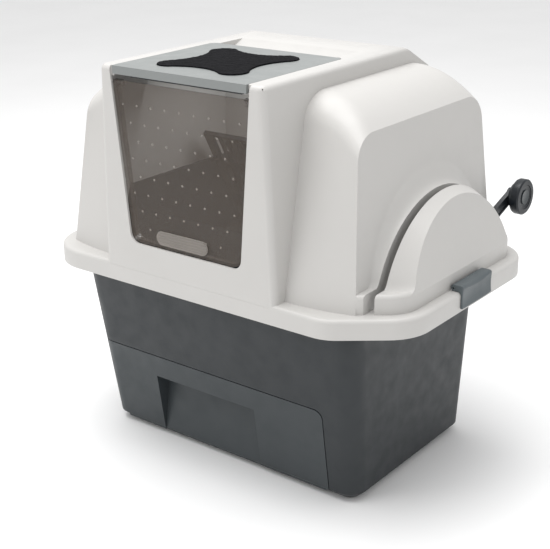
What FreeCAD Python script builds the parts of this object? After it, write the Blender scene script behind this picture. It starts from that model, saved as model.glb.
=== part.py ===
import FreeCAD, Part
import math
import os

import Sketcher
from FreeCAD import Placement, Rotation, Vector

# Hooded litter box with a turning, self-sifting pan.
# Frame: +Z up, -Y is the side with the door, origin under the middle of the whole box.
os.makedirs("parts", exist_ok=True)
doc = FreeCAD.newDocument("hooded_litter_box")
sheet = doc.addObject("Spreadsheet::Sheet", "sizes")

SIZES = [
    # whole object
    ("rim_width", 652.0), ("rim_front", 240.0), ("rim_rear", 180.0),
    ("rim_bottom", 297.0), ("rim_height", 29.0), ("hood_rise", 302.0), ("wall", 3.5),
    # rim of the hood
    ("lever_bulge", 36.0), ("rim_plate", 4.0), ("rim_edge_round", 6.0), ("ledge", 18.0),
    ("plinth_rise", 28.0), ("plinth_round", 6.0), ("corner_cut_x", 98.0), ("corner_cut_y", 74.0),
    ("corner_rear", 66.0), ("corner_left", 80.0), ("corner_bend_front", 55.0), ("corner_bend_side", 70.0),
    # rounded body of the hood
    ("side_ledge", 37.0), ("side_slope", 0.085), ("shoulder_start", 150.0), ("body_drop", 25.0),
    ("shoulder_drop", 41.0), ("shoulder_power", 2.6), ("front_foot", 23.0), ("front_slope", 0.254),
    ("front_recess", 16.0), ("side_front_slope", 0.137), ("rear_foot", 8.0), ("rear_slope", 0.03),
    ("top_round", 50.0), ("side_round", 40.0),
    # collar that frames the door
    ("collar_half_foot", 164.0), ("collar_half_top", 151.0), ("collar_flat", 345.0),
    ("collar_back_drop", 36.0), ("collar_front_round", 12.0), ("collar_top_round", 8.0),
    # door opening and door
    ("sill_rise", 40.0), ("opening_half_low", 105.0), ("opening_half_high", 129.0),
    ("opening_round", 16.0), ("door_gap", 1.6), ("door_thick", 3.0), ("door_return", 12.0),
    ("door_setback", 2.5), ("door_pin_radius", 2.5), ("door_knuckle", 5.5), ("door_axis_drop", 26.0),
    ("door_axis_in", 10.0), ("pin_clearance", 0.05), ("rib_thick", 9.0),
    # lid over the filter
    ("lid_half", 123.0), ("lid_depth", 222.0), ("lid_thick", 5.0), ("lid_skirt", 12.0),
    ("lid_gap", 0.8), ("lid_round", 12.0), ("lid_axis_in", 8.0), ("lid_axis_drop", 8.0),
    ("lid_pin_radius", 2.0), ("scoop_length", 58.0), ("scoop_depth", 22.0), ("seat_width", 11.0),
    ("lobe_margin", 44.0), ("lobe_round", 22.0), ("lobe_waist", 0.75), ("filter_gap", 0.6),
    ("filter_proud", 2.0), ("tray_margin", 20.0), ("tray_floor", 3.0), ("tray_drop", 13.0),
    ("tray_end_in", 8.0), ("tray_slot_long", 48.0), ("tray_slot_wide", 12.0), ("tray_pitch_x", 22.0),
    ("tray_pitch_y", 62.0),
    # lever slot, cover and lever
    ("axle_drop", 8.0), ("axle_y", 5.0), ("slot_width", 12.0),
    ("arch_radius", 163.0), ("arch_below", 21.0), ("crown_radius", 138.0), ("crown_below", 4.0),
    ("cover_depth", 36.0), ("cover_slope", 0.167), ("cover_step", 0.6), ("arch_flare", 25.0),
    ("fender_spread", 52.0), ("fender_reach", 26.0), ("hub_room", 30.0), ("hub_screw_radius", 3.0),
    ("lever_thick", 7.0), ("lever_reach", 230.0), ("lever_half", 11.0), ("lever_tip_half", 9.0),
    ("hub_radius", 24.0), ("lever_angle", 19.5),
    ("knob_radius", 28.0), ("knob_length", 20.0), ("knob_pin_radius", 4.0),
    # base and drawer
    ("base_inset", 5.0), ("base_side_taper", 19.0), ("base_front_in", 35.0), ("base_front_taper", 44.0),
    ("base_rear_in", 15.0), ("base_rear_taper", 13.0), ("base_round", 28.0), ("pad_height", 3.0),
    ("base_chamfer", 12.0), ("rim_clearance", 2.5),
    ("drawer_clear", 12.0), ("drawer_left", 266.0), ("drawer_right", 182.0), ("drawer_gap", 1.5),
    ("drawer_round", 14.0), ("front_thick", 4.0), ("bin_wall", 2.5), ("bin_rear", 128.0),
    ("bin_lift", 1.0), ("grip_left", 149.0), ("grip_right", 52.0), ("grip_drop", 38.0),
    ("grip_depth", 30.0),
    # turning pan
    ("pan_radius", 155.0), ("pan_half", 212.0), ("pan_wall", 3.0), ("pan_front_angle", 24.0),
    ("pan_rear_angle", 68.0), ("end_thick", 4.0), ("end_rise", 92.0), ("stub_radius", 9.0),
    ("bush_depth", 40.0), ("bush_in", 16.0), ("bearing_clearance", 0.06), ("sieve_thick", 4.0),
    ("sieve_low_angle", 12.0), ("sieve_slot", 11.0), ("sieve_pitch", 17.0),
    # latches and feet
    ("latch_length", 84.0), ("latch_plate", 3.6), ("latch_reach", 15.0), ("latch_drop", 24.0),
    ("latch_pin_radius", 1.5), ("latch_gap", 0.35), ("lug_half", 2.4), ("lug_rise", 6.9),
    ("latch_barrel", 3.85), ("latch_crown", 4.2), ("latch_top", 6.0), ("pad_radius", 13.0),
]

for row, (alias, value) in enumerate(SIZES, start=1):
    sheet.set(f"A{row}", alias)
    sheet.set(f"B{row}", str(value))
    sheet.setAlias(f"B{row}", alias)
doc.recompute()
S = {alias: float(sheet.get(alias)) for alias, value in SIZES}


# ---------------------------------------------------------------- worked-out places
WALL = S["wall"]
RIM_X = S["rim_width"] / 2
RIM_Z = S["rim_bottom"]
RIM_TOP = RIM_Z + S["rim_height"]
HOOD_TOP = RIM_TOP + S["hood_rise"]
FRONT = -S["rim_front"]
REAR = S["rim_rear"]
MID_X = -S["lever_bulge"] / 2
AXLE = Vector(0, -S["axle_y"], RIM_TOP - S["axle_drop"])
BODY_HALF = RIM_X - S["lever_bulge"] / 2 - S["side_ledge"]
BODY_TOP = HOOD_TOP - S["body_drop"]
PLINTH_TOP = RIM_TOP + S["plinth_rise"]
PLINTH_X = RIM_X - S["ledge"]
SLOT_HIGH = PLINTH_X - S["cover_depth"]
SLOT_LOW = SLOT_HIGH - S["slot_width"]
SILL_Z = RIM_TOP + S["sill_rise"]
LID_REAR = FRONT + S["lid_depth"]
SEAT_Z = HOOD_TOP - S["lid_skirt"]
DOOR_AXIS = Vector(0, FRONT + S["door_axis_in"], HOOD_TOP - S["door_axis_drop"])
LID_AXIS = Vector(0, FRONT + S["lid_axis_in"], HOOD_TOP - S["lid_axis_drop"])
BASE_TOP = RIM_TOP - S["rim_plate"]
BASE_HALF = BODY_HALF - S["base_inset"]
DRAWER_TOP = AXLE.z - S["pan_radius"] - S["drawer_clear"]
GRIP_TOP = DRAWER_TOP - S["grip_drop"]
LEVER_X = (SLOT_LOW + SLOT_HIGH - S["lever_thick"]) / 2
LEVER_OUT = LEVER_X + S["lever_thick"]


# ---------------------------------------------------------------- general helpers
def feature(label, shape):
    """Add a finished shape to the document under its own label."""
    item = doc.addObject("Part::Feature", label)
    item.Label = label
    item.Shape = shape
    item.Placement = Placement()
    return item


def rounded_outline(corners):
    """Closed wire through (point, radius) corners, each rounded by a tangent arc."""
    edges = []
    starts = []
    count = len(corners)
    for index, (point, radius) in enumerate(corners):
        before = (corners[index - 1][0] - point).normalize()
        after = (corners[(index + 1) % count][0] - point).normalize()
        if radius <= 0:
            starts.append((point, None, point))
            continue
        half = before.getAngle(after) / 2
        reach = radius / math.tan(half)
        inward = (before + after).normalize()
        middle = point + inward * (radius / math.sin(half) - radius)
        starts.append((point + before * reach, middle, point + after * reach))
    for index, (enter, middle, leave) in enumerate(starts):
        if middle is not None:
            edges.append(Part.Arc(enter, middle, leave).toShape())
        edges.append(Part.LineSegment(leave, starts[(index + 1) % count][0]).toShape())
    return Part.Wire(edges)


def prism(wire, along):
    """Solid made by moving a closed flat wire along a vector."""
    return Part.Face(wire).extrude(along)


def block(low, high):
    """Box between two opposite corners."""
    return Part.makeBox(high[0] - low[0], high[1] - low[1], high[2] - low[2], Vector(*low))


def rod(start, end, radius):
    """Round bar between two points."""
    run = end - start
    return Part.makeCylinder(radius, run.Length, start, run)


def joined(shapes):
    """One solid from several touching ones, with the seams between them removed."""
    return shapes[0].fuse(shapes[1:]).removeSplitter()


def rounded_edges(shape, radius, wanted):
    """Round the edges for which wanted(edge) holds."""
    return shape.makeFillet(radius, [edge for edge in shape.Edges if wanted(edge)])


# ---------------------------------------------------------------- parametric bodies
def new_body(label):
    """Empty body with its own label."""
    body = doc.addObject("PartDesign::Body", label)
    body.Label = label
    return body


def new_sketch(body, role, lift=None):
    """Sketch on one of the body's own origin planes, lifted along the plane's normal."""
    sketch = body.newObject("Sketcher::SketchObject", body.Name + "_sketch")
    plane = next(item for item in body.Origin.OriginFeatures if item.Role == role)
    sketch.AttachmentSupport = [(plane, "")]
    sketch.MapMode = "FlatFace"
    if lift:
        sketch.setExpression(".AttachmentOffset.Base.z", lift)
    return sketch


def tie(sketch, kind, geometry, vertex, expression):
    """Dimension a sketch point from the sketch origin and bind it to the sheet."""
    place = sketch.evalExpression(expression)
    number = sketch.addConstraint(Sketcher.Constraint(kind, -1, 1, geometry, vertex, float(place)))
    sketch.setExpression(f"Constraints[{number}]", expression)


def add_circle(sketch, across, up, radius):
    """Circle whose centre and radius are expressions."""
    centre = Vector(float(sketch.evalExpression(across)), float(sketch.evalExpression(up)), 0)
    size = float(sketch.evalExpression(radius))
    ring = sketch.addGeometry(Part.Circle(centre, Vector(0, 0, 1), size), False)
    tie(sketch, "DistanceX", ring, 3, across)
    tie(sketch, "DistanceY", ring, 3, up)
    number = sketch.addConstraint(Sketcher.Constraint("Radius", ring, size))
    sketch.setExpression(f"Constraints[{number}]", radius)


def add_polygon(sketch, corners):
    """Closed polygon whose corners are pairs of expressions."""
    places = [
        Vector(float(sketch.evalExpression(across)), float(sketch.evalExpression(up)), 0)
        for across, up in corners
    ]
    sides = [
        sketch.addGeometry(Part.LineSegment(place, places[(index + 1) % len(places)]), False)
        for index, place in enumerate(places)
    ]
    for index, side in enumerate(sides):
        following = sides[(index + 1) % len(sides)]
        sketch.addConstraint(Sketcher.Constraint("Coincident", side, 2, following, 1))
    for side, (across, up) in zip(sides, corners):
        tie(sketch, "DistanceX", side, 1, across)
        tie(sketch, "DistanceY", side, 1, up)


def pad(body, sketch, length):
    """Pad a sketch along its normal by an expression."""
    item = body.newObject("PartDesign::Pad", body.Name + "_pad")
    item.Profile = sketch
    item.setExpression("Length", length)
    body.Tip = item
    return item


def pocket(body, sketch, length):
    """Pocket a sketch along its normal by an expression, and test that it cuts."""
    doc.recompute()
    before = body.Shape.Volume
    item = body.newObject("PartDesign::Pocket", body.Name + "_pocket")
    item.Profile = sketch
    item.setExpression("Length", length)
    item.Reversed = True
    body.Tip = item
    doc.recompute()
    if body.Shape.Volume >= before:
        raise RuntimeError(f"the pocket of {body.Label} cuts nothing")
    return item


def revolve(body, sketch):
    """Turn a sketch in full about its horizontal axis."""
    item = body.newObject("PartDesign::Revolution", body.Name + "_turn")
    item.Profile = sketch
    item.ReferenceAxis = (sketch, ["H_Axis"])
    item.Angle = 360.0
    body.Tip = item
    return item


# ---------------------------------------------------------------- outlines shared by several pieces
def rim_outline(inset, height):
    """Outline of the hood's rim, moved inwards, at a height."""
    x, y = RIM_X, FRONT
    cut_x, cut_y = S["corner_cut_x"], S["corner_cut_y"]
    corners = [
        (Vector(-x, y, height), S["corner_left"]),
        (Vector(x - cut_x, y, height), S["corner_bend_front"]),
        (Vector(x, y + cut_y, height), S["corner_bend_side"]),
        (Vector(x, REAR, height), S["corner_rear"]),
        (Vector(-x, REAR, height), S["corner_rear"]),
    ]
    outline = rounded_outline(corners)
    return outline.makeOffset2D(-inset) if inset else outline


def body_section(share, side, inset, foot):
    """Upright section of the rounded body: share 0 beside the collar, 1 at the side face."""
    bend = share ** S["shoulder_power"]
    top = BODY_TOP - S["shoulder_drop"] * bend - inset
    radius = S["top_round"] + (S["side_round"] - S["top_round"]) * bend - inset
    slope = S["front_slope"] + (S["side_front_slope"] - S["front_slope"]) * bend
    near = FRONT + S["front_foot"] + S["front_recess"] * bend + inset
    far = REAR - S["rear_foot"] - inset
    rear_slope = S["rear_slope"] * (1 + share)

    def place(y_foot, lean, height):
        half = S["shoulder_start"]
        face = BODY_HALF - S["side_slope"] * (height - RIM_TOP) - inset
        rise = height - RIM_TOP
        return Vector(MID_X + side * (half + (face - half) * share), y_foot + lean * rise, height)

    return rounded_outline([
        (place(near, slope, foot), 0),
        (place(near, slope, top), radius),
        (place(far, -rear_slope, top), radius),
        (place(far, -rear_slope, foot), 0),
    ])


def body_solid(inset, foot):
    """The rounded body of the hood, moved inwards by inset and starting at a height."""
    sides = [
        Part.makeLoft([body_section(share, side, inset, foot) for share in (0, 0.5, 1)], True, False)
        for side in (-1, 1)
    ]
    middle = Part.makeLoft([body_section(0, side, inset, foot) for side in (-1, 1)], True, True)
    return middle.fuse(sides).removeSplitter()


def collar_solid(inset, foot):
    """The upright collar around the door, tapering upwards and falling away at the back."""
    half_foot = S["collar_half_foot"] - inset
    half_top = S["collar_half_top"] - inset
    lean = (half_foot - half_top) / (HOOD_TOP - RIM_TOP)
    low_half = half_foot + lean * (RIM_TOP - foot)
    top = HOOD_TOP - inset
    front_view = Part.makePolygon([
        Vector(MID_X - low_half, FRONT + inset, foot), Vector(MID_X + low_half, FRONT + inset, foot),
        Vector(MID_X + half_top, FRONT + inset, top), Vector(MID_X - half_top, FRONT + inset, top),
        Vector(MID_X - low_half, FRONT + inset, foot),
    ])
    bend = FRONT + S["collar_flat"]
    rear = REAR - S["rear_foot"] - 2 * inset - S["wall"]
    side_view = Part.makePolygon([
        Vector(-RIM_X, FRONT, foot), Vector(-RIM_X, FRONT, top), Vector(-RIM_X, bend, top),
        Vector(-RIM_X, rear, top - S["collar_back_drop"]), Vector(-RIM_X, rear, foot),
        Vector(-RIM_X, FRONT, foot),
    ])
    shape = prism(front_view, Vector(0, rear - FRONT, 0)).common(prism(side_view, Vector(2 * RIM_X, 0, 0)))
    if inset:
        return shape
    shape = rounded_edges(shape, S["collar_front_round"], lambda edge: is_collar_front(edge, foot))
    return rounded_edges(shape, S["collar_top_round"], is_collar_top)


def is_collar_front(edge, foot):
    """True for the two upright edges at the front of the collar."""
    box = edge.BoundBox
    return box.YLength < 1 and box.ZLength > 100 and abs(box.YMin - FRONT) < 1


def is_collar_top(edge):
    """True for the two long edges along the sides of the collar's flat top."""
    box = edge.BoundBox
    return box.ZLength < 1 and box.YLength > 100 and box.ZMin > HOOD_TOP - 1


def arch_outline(radius, below, foot, across):
    """Bell-shaped outline about the axle, with flared feet; across(z) gives its x."""
    centre_z = AXLE.z - below
    flare = S["arch_flare"]
    rise = foot + flare - centre_z
    reach = math.sqrt((radius + flare) ** 2 - rise ** 2)
    touch = math.atan2(rise, reach)

    def on_plane(y, z):
        return Vector(across(z), y, z)

    def foot_points(side):
        heart_y = AXLE.y + side * reach
        leans = (-math.pi / 2, -(math.pi / 2 + touch) / 2, -touch)
        return [
            on_plane(heart_y - side * flare * math.cos(lean), foot + flare + flare * math.sin(lean))
            for lean in leans
        ]

    left, right = foot_points(-1), foot_points(1)
    return Part.Wire([
        Part.Arc(*left).toShape(),
        Part.Arc(left[2], on_plane(AXLE.y, centre_z + radius), right[2]).toShape(),
        Part.Arc(right[2], right[1], right[0]).toShape(),
        Part.LineSegment(right[0], left[0]).toShape(),
    ])


def side_outline_prism(foot):
    """Outline of the body's flat side, drawn out along X past the lever slot."""
    outline = body_section(1, 1, 0, foot)
    outline.translate(Vector(-S["cover_depth"], 0, 0))
    return prism(outline, Vector(3 * S["cover_depth"], 0, 0))


def fender_solid(foot):
    """Hollow sweep from the body's side out to the lip of the lever slot."""
    sections = []
    for share in (1.0, 0.75, 0.5, 0.25, 0.0):
        x = SLOT_LOW - S["fender_reach"] * share
        radius = S["arch_radius"] + S["fender_spread"] * share * share
        sections.append(arch_outline(radius, S["arch_below"], foot, lambda z, x=x: x))
    return Part.makeLoft(sections, True, False).common(side_outline_prism(foot - 1))


def cover_solid(inset, foot):
    """Dome over the lever's hub, from the slot to its flat outer face."""
    def outer_face(height):
        return PLINTH_X - S["cover_step"] - S["cover_slope"] * (height - foot) - inset

    slot_side = arch_outline(S["arch_radius"] - inset, S["arch_below"], foot, lambda z: SLOT_HIGH)
    crown = arch_outline(S["crown_radius"] - inset, S["crown_below"], foot, outer_face)
    within = prism(rim_outline(S["ledge"] + S["cover_step"] + inset, foot - 1), Vector(0, 0, S["hood_rise"]))
    return Part.makeLoft([slot_side, crown], True, True).common(within)


def plinth_solid(inset, low, high):
    """Raised step that follows the rim, with a rounded upper edge."""
    shape = prism(rim_outline(S["ledge"] + inset, low), Vector(0, 0, high - low))
    if inset:
        return shape
    return rounded_edges(shape, S["plinth_round"], lambda edge: edge.BoundBox.ZMin > high - 0.1)


def rim_solid():
    """Rim plate with its skirt, open underneath."""
    shape = prism(rim_outline(0, RIM_Z), Vector(0, 0, S["rim_height"]))
    shape = rounded_edges(shape, S["rim_edge_round"], lambda edge: edge.BoundBox.ZMin > RIM_TOP - 0.1)
    hollow = prism(rim_outline(WALL, RIM_Z - 1), Vector(0, 0, S["rim_height"] - S["rim_plate"] + 1))
    return shape.cut(hollow)


def opening_prism(grow, start_y, depth):
    """Door opening as a prism along Y: narrow at the sill and wide at the top."""
    low, high = S["opening_half_low"] + grow, S["opening_half_high"] + grow
    top = HOOD_TOP + 1 if grow >= 0 else DOOR_AXIS.z + S["door_knuckle"] - 0.5
    share = (top - SILL_Z) / (HOOD_TOP - SILL_Z)
    high = low + (high - low) * share
    outline = rounded_outline([
        (Vector(MID_X - low, start_y, SILL_Z - grow), S["opening_round"]),
        (Vector(MID_X + low, start_y, SILL_Z - grow), S["opening_round"]),
        (Vector(MID_X + high, start_y, top), 0),
        (Vector(MID_X - high, start_y, top), 0),
    ])
    return prism(outline, Vector(0, depth, 0))


def lid_outline(grow, height):
    """Plan outline of the lid: square in front, rounded behind."""
    half = S["lid_half"] + grow
    return rounded_outline([
        (Vector(MID_X - half, FRONT - grow, height), 0), (Vector(MID_X + half, FRONT - grow, height), 0),
        (Vector(MID_X + half, LID_REAR + grow, height), S["lid_round"]),
        (Vector(MID_X - half, LID_REAR + grow, height), S["lid_round"]),
    ])


def lid_recess():
    """Room for the lid, the scoop behind it and the vent below it."""
    recess = prism(lid_outline(S["lid_gap"], SEAT_Z), Vector(0, 0, S["lid_skirt"] + 1))
    half = S["lid_half"] - S["lid_round"]
    start, end = LID_REAR - 1, LID_REAR + S["scoop_length"]
    top, bottom = HOOD_TOP + 1, HOOD_TOP - S["scoop_depth"]
    scoop = prism(Part.makePolygon([
        Vector(MID_X - half, start, top), Vector(MID_X - half, end, top),
        Vector(MID_X - half, start, bottom), Vector(MID_X - half, start, top),
    ]), Vector(2 * half, 0, 0))
    seat = S["lid_half"] - S["seat_width"]
    vent = block(
        (MID_X - seat, FRONT + WALL, bottom - 2 * WALL),
        (MID_X + seat, LID_REAR - S["seat_width"], SEAT_Z + 1),
    )
    swing = LID_AXIS.y - FRONT
    relief = block(
        (MID_X - S["lid_half"] - S["lid_gap"], FRONT - 1, LID_AXIS.z - S["lid_skirt"] - 2),
        (MID_X + S["lid_half"] + S["lid_gap"], LID_AXIS.y + swing + S["lid_gap"], SEAT_Z + 1),
    )
    return recess, scoop, vent, relief


def roof_lining():
    """Material kept under the lid's seat and under the scoop."""
    half = S["lid_half"] + 2 * WALL
    seat = block((MID_X - half, FRONT + WALL, SEAT_Z - WALL), (MID_X + half, LID_REAR, HOOD_TOP - WALL / 2))
    under = block(
        (MID_X - half, LID_REAR - S["seat_width"], HOOD_TOP - S["scoop_depth"] - WALL),
        (MID_X + half, LID_REAR + S["scoop_length"] + WALL, HOOD_TOP - WALL / 2),
    )
    return [seat, under]


def hinge_rib(side):
    """Rib inside the collar that carries the pins of the door and of the lid."""
    inner = S["opening_half_high"] + S["door_gap"]
    low = DOOR_AXIS.z - 2 * S["door_knuckle"]
    x_near, x_far = sorted((MID_X + side * inner, MID_X + side * (inner + S["rib_thick"])))
    return block((x_near, FRONT + WALL / 2, low), (x_far, DOOR_AXIS.y + S["door_knuckle"], SEAT_Z))


def hinge_pins(axis, radius, inner, outer):
    """A pair of pins on one axis, from inner to outer half-width."""
    def at(x):
        return Vector(MID_X + x, axis.y, axis.z)

    return [rod(at(side * inner), at(side * outer), radius) for side in (-1, 1)]


# ---------------------------------------------------------------- hood shell
DOOR_PIN_HALF = (S["opening_half_high"] - 14, S["opening_half_high"] + S["door_gap"] + S["rib_thick"])
LID_PIN_HALF = (S["lid_half"] - S["lid_thick"], S["lid_half"] + S["rib_thick"])
LATCH_PIN_HALF = S["latch_length"] / 2 - 4


def lever_room():
    """Everything the lever and its axle need to sweep through the rim and the side wall."""
    reach = S["lever_reach"]
    slot = block((SLOT_LOW, AXLE.y - reach, RIM_TOP), (SLOT_HIGH, AXLE.y + reach, HOOD_TOP))
    through = block(
        (SLOT_LOW, AXLE.y - S["arch_radius"], RIM_Z), (SLOT_HIGH, AXLE.y + S["arch_radius"], RIM_TOP + 1)
    )
    room = S["hub_room"]
    hub = block((SLOT_LOW, AXLE.y - room, RIM_Z - 1), (PLINTH_X - 2 * WALL, AXLE.y + room, AXLE.z + room))
    notch_half = S["stub_radius"] + WALL
    notch = block(
        (SLOT_LOW - 40, AXLE.y - notch_half, RIM_Z - 1), (SLOT_HIGH, AXLE.y + notch_half, AXLE.z + notch_half)
    )
    return [slot, through, hub, notch]


def latch_lug(side):
    """Lug on the rim that carries a latch's pin."""
    x = side * (RIM_X - S["latch_reach"] + 3)
    half = S["lug_half"]
    return block((x - half, AXLE.y - 5, RIM_TOP - 1), (x + half, AXLE.y + 5, RIM_TOP + S["lug_rise"]))


def latch_axis(side):
    """Point on the axis of a latch, beside its lug."""
    rise = S["latch_gap"] + S["latch_barrel"]
    return Vector(side * (RIM_X - S["latch_reach"] + 3), AXLE.y, RIM_TOP + rise)


def corner_plinth():
    """The stretch of the plinth and the fender that belong to the hood shell."""
    start = MID_X + BODY_HALF - S["side_round"]
    room = block((start, FRONT, RIM_TOP), (SLOT_LOW, REAR, HOOD_TOP))
    within = prism(rim_outline(S["ledge"], PLINTH_TOP - 1), Vector(0, 0, S["hood_rise"]))
    fender = fender_solid(PLINTH_TOP - S["plinth_round"]).common(within)
    stretch = plinth_solid(0, RIM_TOP, PLINTH_TOP).common(room).common(side_outline_prism(RIM_TOP - 1))
    return [stretch, fender.common(room)]


def hood_solid():
    """The white hood: rim, body, collar, fender and the seats for what it carries."""
    foot = RIM_TOP - S["rim_plate"]
    outer = joined([rim_solid(), body_solid(0, foot), collar_solid(0, foot)] + corner_plinth())
    inner = joined([body_solid(WALL, RIM_Z - 1), collar_solid(WALL, RIM_Z - 1)]).cut(roof_lining())
    shell = outer.cut([inner, *lid_recess(), opening_prism(0, FRONT - 1, WALL + 2)] + lever_room())
    added = [hinge_rib(side) for side in (-1, 1)] + [latch_lug(side) for side in (-1, 1)]
    shell = joined([shell] + added)
    bores = hinge_pins(DOOR_AXIS, S["door_pin_radius"], *DOOR_PIN_HALF)
    bores += hinge_pins(LID_AXIS, S["lid_pin_radius"], *LID_PIN_HALF)
    bores += [latch_rod(side) for side in (-1, 1)]
    return shell.cut(bores)


def latch_rod(side):
    """The pin of a latch, along Y."""
    centre = latch_axis(side)
    half = Vector(0, LATCH_PIN_HALF, 0)
    return rod(centre - half, centre + half, S["latch_pin_radius"])


feature("hood_shell", hood_solid())


# ---------------------------------------------------------------- lever cover
def lever_cover():
    """Dome and outer plinth in one moulding, hollow and open towards the slot."""
    beyond = block((SLOT_HIGH, FRONT, RIM_TOP), (RIM_X, REAR, HOOD_TOP))
    foot = PLINTH_TOP - S["plinth_round"]
    skin = plinth_solid(0, RIM_TOP, PLINTH_TOP).common(beyond).fuse(cover_solid(0, foot)).removeSplitter()
    core = plinth_solid(WALL, RIM_TOP - 1, PLINTH_TOP - WALL)
    core = core.common(block((SLOT_HIGH - 1, FRONT, RIM_TOP - 1), (RIM_X, REAR, HOOD_TOP)))
    return skin.cut([core, cover_solid(WALL, foot - WALL - 1)])


feature("lever_cover", lever_cover())


# ---------------------------------------------------------------- door, its pins
def entry_door():
    """Clear flap: a plate with short returns, a pull rib and two hinge knuckles."""
    front = FRONT + S["door_setback"]
    plate = opening_prism(-S["door_gap"], front, S["door_thick"])
    tray = opening_prism(-S["door_gap"], front, S["door_return"])
    hollow = opening_prism(-S["door_gap"] - S["door_thick"], front + S["door_thick"], S["door_return"])
    open_top = block(
        (-RIM_X, front + S["door_thick"], DOOR_AXIS.z), (RIM_X, 0, HOOD_TOP)
    )
    reach = S["opening_half_high"] - S["door_gap"] - 1
    knuckles = hinge_pins(DOOR_AXIS, S["door_knuckle"], reach - 12, reach - 1)
    shape = joined([plate, tray.cut([hollow, open_top])] + knuckles)
    bore = S["door_pin_radius"] + S["pin_clearance"]
    return shape.cut(hinge_pins(DOOR_AXIS, bore, reach - 20, reach + 5))


feature("entry_door", entry_door())
feature("door_pins", Part.makeCompound(hinge_pins(DOOR_AXIS, S["door_pin_radius"], *DOOR_PIN_HALF)))


# ---------------------------------------------------------------- lid, filter and tray
def lobe_outline(grow, height):
    """Four-lobed outline about the middle of the lid."""
    centre = Vector(MID_X, (FRONT + LID_REAR) / 2, height)
    reach = (S["lid_half"] - S["lobe_margin"] - S["lobe_round"]) * math.sqrt(2)
    tip = S["lobe_round"] + grow
    waist = reach * S["lobe_waist"] + grow
    edges = []
    for quarter in range(4):
        angle = math.radians(45 + 90 * quarter)
        out = Vector(math.cos(angle), math.sin(angle), 0)
        across = Vector(-math.sin(angle), math.cos(angle), 0)
        heart = centre + out * reach
        start, end = heart - across * tip, heart + across * tip
        edges.append(Part.Arc(start, heart + out * tip, end).toShape())
        following = math.radians(135 + 90 * quarter)
        out_next = Vector(math.cos(following), math.sin(following), 0)
        across_next = Vector(-math.sin(following), math.cos(following), 0)
        middle = math.radians(90 + 90 * quarter)
        hollow = centre + Vector(math.cos(middle), math.sin(middle), 0) * waist
        edges.append(Part.Arc(end, hollow, centre + out_next * reach - across_next * tip).toShape())
    return Part.Wire(edges)


def top_lid():
    """Lid with a short skirt, a four-lobed window and two hinge eyes."""
    low = SEAT_Z
    shape = prism(lid_outline(0, low), Vector(0, 0, HOOD_TOP - low))
    thick = S["lid_thick"]
    hollow = prism(lid_outline(-thick, low - 1), Vector(0, 0, HOOD_TOP - thick - low + 1))
    shape = shape.cut([hollow, prism(lobe_outline(0, low), Vector(0, 0, 2 * S["lid_skirt"]))])
    bore = S["lid_pin_radius"] + S["pin_clearance"]
    return shape.cut(hinge_pins(LID_AXIS, bore, S["lid_half"] - 2 * thick, S["lid_half"] + 5))


feature("top_lid", top_lid())
feature("lid_pins", Part.makeCompound(hinge_pins(LID_AXIS, S["lid_pin_radius"], *LID_PIN_HALF)))


def filter_tray():
    """Shallow basket under the lid with a slotted floor."""
    middle_y = (FRONT + LID_REAR) / 2
    half = S["lid_half"] - S["tray_margin"]
    top = HOOD_TOP - S["lid_thick"]
    floor = top - S["tray_drop"]
    lift = S["tray_floor"]
    deep = half - S["tray_end_in"]
    shape = block((MID_X - half, middle_y - deep, floor), (MID_X + half, middle_y + deep, top))
    inside = block(
        (MID_X - half + lift, middle_y - deep + lift, floor + lift),
        (MID_X + half - lift, middle_y + deep - lift, top + 1),
    )
    wide, long = S["tray_slot_wide"] / 2, S["tray_slot_long"] / 2
    across = int((half - wide - 2 * lift) / S["tray_pitch_x"])
    slots = []
    for step in range(-across, across + 1):
        for row in (-1, 0, 1):
            x, y = MID_X + step * S["tray_pitch_x"], middle_y + row * S["tray_pitch_y"]
            slots.append(block((x - wide, y - long, floor - 1), (x + wide, y + long, floor + lift + 1)))
    return shape.cut([inside] + slots)


feature("filter_tray", filter_tray())

FILTER_FLOOR = HOOD_TOP - S["lid_thick"] - S["tray_drop"] + S["tray_floor"]
feature("filter_pad", prism(
    lobe_outline(-S["filter_gap"], FILTER_FLOOR), Vector(0, 0, HOOD_TOP + S["filter_proud"] - FILTER_FLOOR)
))


# ---------------------------------------------------------------- base tub
def base_face(height):
    """Front wall of the base at a height, as a Y value."""
    return FRONT + S["base_front_in"] + S["base_front_taper"] * (1 - height / BASE_TOP)


def base_section(height, inset):
    """Plan outline of the base at a height."""
    share = height / BASE_TOP
    half = BASE_HALF - S["base_side_taper"] * (1 - share) - inset
    near = base_face(height) + inset
    far = REAR - S["base_rear_in"] - S["base_rear_taper"] * (1 - share) - inset
    radius = S["base_round"] * (1 + share / 3) - min(inset, S["base_round"] / 2)
    return rounded_outline([
        (Vector(MID_X - half, near, height), radius), (Vector(MID_X + half, near, height), radius),
        (Vector(MID_X + half, far, height), radius), (Vector(MID_X - half, far, height), radius),
    ])


def base_solid(inset, low, high):
    """The tapering block of the base, moved inwards by inset."""
    return Part.makeLoft([base_section(low, inset), base_section(high, inset)], True, True)


def drawer_prism(grow, depth):
    """Drawer front outline as a prism along Y, deep enough to cross the front wall."""
    left, right = -S["drawer_left"] - grow, S["drawer_right"] + grow
    low, high = S["pad_height"] + 1 - grow, DRAWER_TOP + grow
    round_off = S["drawer_round"]
    outline = rounded_outline([
        (Vector(left, FRONT, low), 0), (Vector(right, FRONT, low), 2.0),
        (Vector(right, FRONT, high), round_off), (Vector(left, FRONT, high), round_off),
    ])
    return prism(outline, Vector(0, depth, 0))


BIN_FRONT_Y = FRONT + S["base_front_in"] + S["base_front_taper"] + S["front_thick"]


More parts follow.
